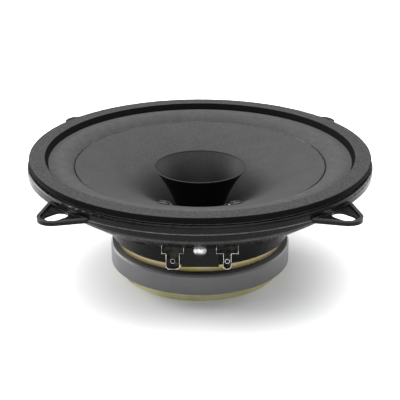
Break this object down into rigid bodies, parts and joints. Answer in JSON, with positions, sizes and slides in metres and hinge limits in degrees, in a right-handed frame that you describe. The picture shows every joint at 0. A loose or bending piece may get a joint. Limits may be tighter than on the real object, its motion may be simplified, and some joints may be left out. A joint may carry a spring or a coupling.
{
  "type": "dual-cone car speaker",
  "caption": "Round car loudspeaker with a whizzer cone, half-roll surround, gasket, slotted mounting ears, ring magnet and push-on terminals.",
  "frame": {"origin": "centre of the back plate's underside, on the speaker's axis", "axes": "+Z along the speaker's axis out of the front; the four ears lie on +X, -X, +Y and -Y; the terminals lie midway between the +X and -Y ears"},
  "size_m": [0.1538, 0.1538, 0.048],
  "materials": {
    "basket_paint": "satin black powder paint on stamped steel",
    "gasket_foam": "dark grey sealing foam ring with a fine rough grain",
    "surround_foam": "matte grey foam half roll with a fine cell grain",
    "cone_paper": "dark grey felted paper pulp",
    "whizzer_paper": "thin hard black pressed paper",
    "dust_cap_paper": "black treated paper dome",
    "former_foil": "aluminium foil tube",
    "winding_copper": "enamelled copper wire, two layers",
    "spider_cloth": "resin-stiffened corrugated cotton cloth, amber",
    "spider_ring_board": "pressed board ring",
    "glue": "dark adhesive bead",
    "yellow_zinc": "yellow-passivated zinc plating on steel",
    "ferrite": "ground ferrite, satin grey",
    "rivet_steel": "bright zinc rivet",
    "board_fibre": "black vulcanised fibre board",
    "tinned_brass": "bright tinned brass",
    "tinsel_braid": "braided tinsel wire",
    "solder": "tin solder",
    "eyelet_brass": "hollow brass eyelet",
    "black_lacquer": "black gloss lacquer over the coil's lead-out wire"
  },
  "bodies": {
    "frame_body": {"basket": "basket_paint", "gasket": "gasket_foam", "surround": "surround_foam", "spider": "spider_cloth", "spider_ring": "spider_ring_board", "magnet_adhesive": "glue", "back_plate": "yellow_zinc", "top_plate": "yellow_zinc", "pole_piece": "yellow_zinc", "magnet": "ferrite", "basket_rivets": "rivet_steel", "board_rivet": "rivet_steel", "terminal_board": "board_fibre", "terminal_positive": "tinned_brass", "terminal_negative": "tinned_brass", "tinsel_lead_negative": "tinsel_braid", "tinsel_lead_positive": "tinsel_braid", "solder_negative": "solder", "solder_positive": "solder"},
    "cone_body": {"cone": "cone_paper", "whizzer_cone": "whizzer_paper", "dust_cap": "dust_cap_paper", "voice_coil_former": "former_foil", "voice_coil_winding": "winding_copper", "neck_glue": "glue", "spider_glue": "glue", "cone_eyelet_negative": "eyelet_brass", "cone_eyelet_positive": "eyelet_brass", "lead_lacquer_negative": "black_lacquer", "lead_lacquer_positive": "black_lacquer"}
  },
  "joints": [
    {"name": "cone_travel", "type": "slide", "parent": "frame_body", "child": "cone_body", "axis": [0, 0, 1], "range_m": [-0.003, 0.003], "stiffness_N_per_m": 2500, "deforming": ["surround", "spider", "tinsel_lead_negative", "tinsel_lead_positive"]}
  ]
}
